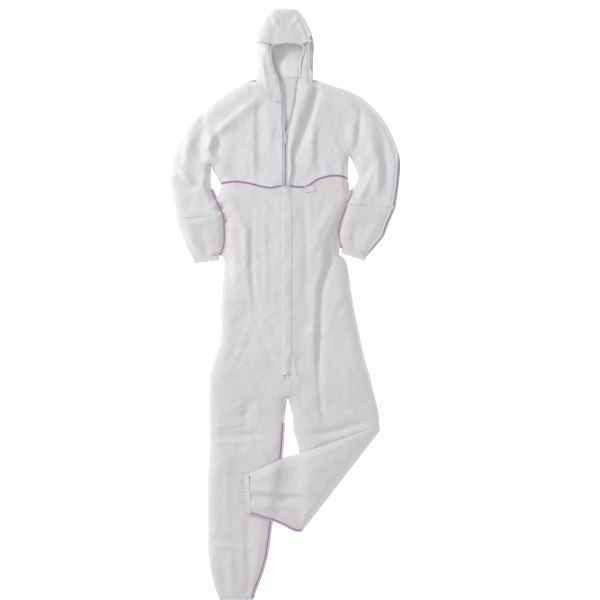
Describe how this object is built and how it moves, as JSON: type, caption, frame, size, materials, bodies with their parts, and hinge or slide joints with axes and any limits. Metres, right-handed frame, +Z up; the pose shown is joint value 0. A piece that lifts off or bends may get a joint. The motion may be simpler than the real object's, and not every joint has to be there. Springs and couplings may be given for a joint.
{
  "type": "chemical protective coverall",
  "caption": "White hooded protective coverall laid flat on its back, with a front zip under a storm flap, bound seams and elastic at face, wrists, waist and ankles.",
  "frame": {"origin": "middle of the flat suit's footprint, on the floor", "axes": "+Z up from the floor through the suit's thickness, +Y from the ankles to the hood, +X towards the wearer's left"},
  "size_m": [0.744, 1.912, 0.0477],
  "materials": {
    "upper_fabric": "smooth coated nonwoven film",
    "lower_fabric": "soft bonded nonwoven",
    "seam_binding": "purple overlocked thread",
    "elastic": "gathered hem over elastic",
    "zip_tape": "woven tape",
    "zip_coil": "nylon coil",
    "zip_metal": "white lacquered metal",
    "label": "blank woven label"
  },
  "bodies": {
    "suit": {"back_lower": "lower_fabric", "back_upper": "upper_fabric", "blank_label": "label", "chest_seam_left": "seam_binding", "chest_seam_right": "seam_binding", "chin_left": "upper_fabric", "chin_right": "upper_fabric", "crotch_gusset": "lower_fabric", "front_left": "lower_fabric", "front_right": "lower_fabric", "left_cuff_elastic": "elastic", "left_forearm_back": "lower_fabric", "left_forearm_front": "lower_fabric", "left_sleeve_back": "upper_fabric", "left_sleeve_front": "upper_fabric", "left_sleeve_seam": "seam_binding", "left_thigh_back": "lower_fabric", "left_thigh_front": "lower_fabric", "right_ankle_elastic": "elastic", "right_cuff_elastic": "elastic", "right_forearm_back": "lower_fabric", "right_forearm_front": "lower_fabric", "right_inseam": "seam_binding", "right_leg_back": "lower_fabric", "right_leg_front": "lower_fabric", "right_sleeve_back": "upper_fabric", "right_sleeve_front": "upper_fabric", "right_sleeve_seam": "seam_binding", "storm_flap_upper": "upper_fabric", "waist_elastic": "elastic", "yoke_left": "upper_fabric", "yoke_right": "upper_fabric", "zip_bottom_stop": "zip_metal", "zip_coil_left": "zip_coil", "zip_coil_right": "zip_coil", "zip_tape_left": "zip_tape", "zip_tape_right": "zip_tape", "zip_top_stop_left": "zip_metal", "zip_top_stop_right": "zip_metal"},
    "storm_flap": {"storm_flap": "upper_fabric"},
    "slider": {"zip_slider": "zip_metal"},
    "pull_tab": {"pull_tab": "zip_metal"},
    "hood": {"hood_crown_seam": "upper_fabric", "hood_left_back": "upper_fabric", "hood_left_cheek": "upper_fabric", "hood_left_crown": "upper_fabric", "hood_right_back": "upper_fabric", "hood_right_cheek": "upper_fabric", "hood_right_crown": "upper_fabric", "face_elastic": "elastic"},
    "left_shin": {"left_shin_back": "lower_fabric", "left_shin_front": "lower_fabric", "left_ankle_elastic": "elastic", "left_inseam": "seam_binding"}
  },
  "joints": [
    {"name": "zip_slide", "type": "slide", "parent": "suit", "child": "slider", "axis": [0, -1, 0], "range_m": [0, 0.724]},
    {"name": "pull_tab_swing", "type": "hinge", "parent": "slider", "child": "pull_tab", "pos_m": [0.003, 0.546, 0.0345], "axis": [-1, 0, 0], "range_deg": [0, 165]},
    {"name": "storm_flap_open", "type": "hinge", "parent": "suit", "child": "storm_flap", "pos_m": [0.026, 0, 0.0335], "axis": [0, 1, 0], "range_deg": [0, 150]},
    {"name": "hood_fold", "type": "hinge", "parent": "suit", "child": "hood", "pos_m": [0, 0.728, 0.04], "axis": [1, 0, 0], "range_deg": [0, 165]},
    {"name": "left_leg_unfold", "type": "hinge", "parent": "suit", "child": "left_shin", "pos_m": [0.314, -0.402, 0.02385], "axis": [0.6125, 0.7905, 0], "range_deg": [0, 175]}
  ]
}
